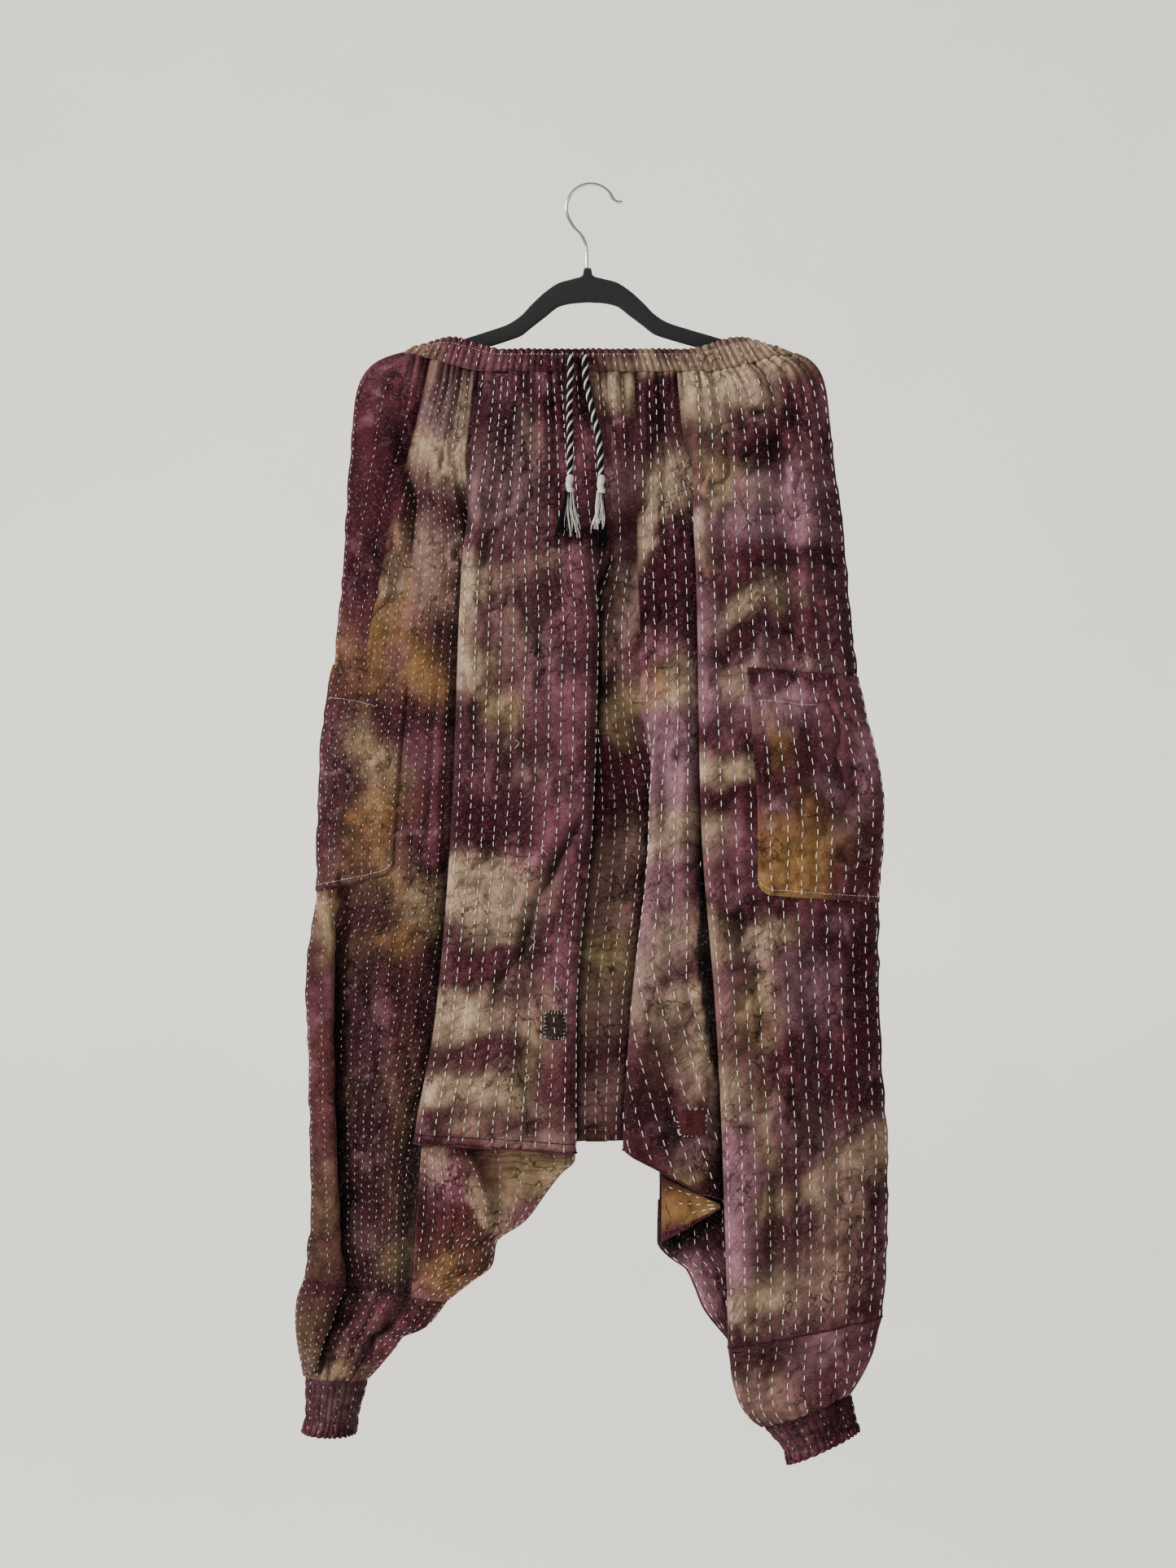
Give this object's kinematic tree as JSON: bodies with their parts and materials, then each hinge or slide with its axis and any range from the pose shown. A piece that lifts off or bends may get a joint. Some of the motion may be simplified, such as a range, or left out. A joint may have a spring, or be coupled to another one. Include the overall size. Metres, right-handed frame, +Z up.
{
  "type": "harem pants on a hanger",
  "caption": "Loose tie-dyed cotton harem pants with running stitch, gathered waist and cuffs, cargo pockets and tasselled drawstring, hung by the waist on a flocked hanger.",
  "frame": {"origin": "inside top of the hanger's hook, where a rail or peg carries it", "axes": "+X to the right as the front is looked at, the front faces -Y, +Z up"},
  "size_m": [0.5765, 0.0788, 1.2465],
  "materials": {
    "stitched_cotton": "soft tie-dyed plain weave with running stitches",
    "gathered_cotton": "the same cotton, gathered on elastic",
    "patch_cotton": "dark plain weave",
    "twisted_cord": "black and white twisted cotton cord",
    "tassel_thread": "loose cotton thread",
    "flock": "black velvet flock over a stiff core",
    "hook_steel": "bright plated wire"
  },
  "bodies": {
    "root": {"leg_left_front": "stitched_cotton", "leg_left_back": "stitched_cotton", "leg_right_front": "stitched_cotton", "leg_right_back": "stitched_cotton", "front_left": "stitched_cotton", "front_recess": "stitched_cotton", "front_right": "stitched_cotton", "back_center": "stitched_cotton", "gusset_left": "stitched_cotton", "gusset_right": "stitched_cotton", "lower_leg_left": "stitched_cotton", "lower_leg_right": "stitched_cotton", "pocket_left": "stitched_cotton", "pocket_right": "stitched_cotton", "cuff_left": "gathered_cotton", "cuff_right": "gathered_cotton", "waistband": "gathered_cotton", "patch_left": "patch_cotton", "patch_right": "patch_cotton", "drawstring_left": "twisted_cord", "drawstring_right": "twisted_cord", "tassel_left": "tassel_thread", "tassel_right": "tassel_thread", "hanger_body": "flock", "hanger_hook": "hook_steel"}
  },
  "joints": []
}
